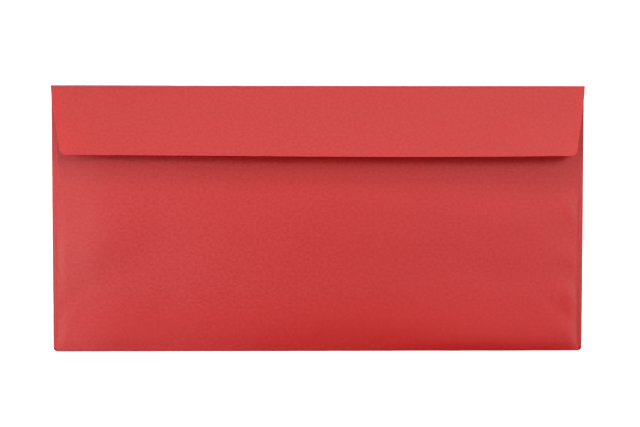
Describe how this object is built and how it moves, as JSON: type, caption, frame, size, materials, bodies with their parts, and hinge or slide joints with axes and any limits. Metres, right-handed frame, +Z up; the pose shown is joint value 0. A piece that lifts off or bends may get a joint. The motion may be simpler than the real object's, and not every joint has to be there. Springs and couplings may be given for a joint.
{
  "type": "envelope",
  "caption": "Long wallet envelope of coloured paper, with a straight closing flap that folds at the top and a peel-off liner over its adhesive strip.",
  "frame": {"origin": "middle of the closed envelope's footprint, on the surface that it lies on", "axes": "+X along the top fold, +Y towards the top fold, +Z up, out of the back panel"},
  "size_m": [0.22, 0.11, 0.0045],
  "materials": {
    "paper": "satin",
    "inside_paper": "matte",
    "glue": "satin",
    "adhesive": "satin",
    "liner": "satin"
  },
  "bodies": {
    "pocket": {"front_panel": "inside_paper", "back_panel": "paper", "bottom_fold": "paper", "left_side_fold": "paper", "right_side_fold": "paper", "left_seam_flap": "inside_paper", "right_seam_flap": "inside_paper", "left_seam_glue": "glue", "right_seam_glue": "glue", "flap_crease": "paper"},
    "flap": {"closing_flap": "paper", "flap_adhesive": "adhesive"},
    "liner": {"release_liner": "liner"}
  },
  "joints": [
    {"name": "flap_fold", "type": "hinge", "parent": "pocket", "child": "flap", "pos_m": [0, 0.0546, 0.0004], "axis": [-1, 0, 0], "range_deg": [0, 172.5], "deforming": ["flap_crease"]},
    {"name": "liner_release", "type": "slide", "parent": "flap", "child": "liner", "axis": [0, -0.9916, 0.1295], "range_m": [0, 0.03]}
  ]
}
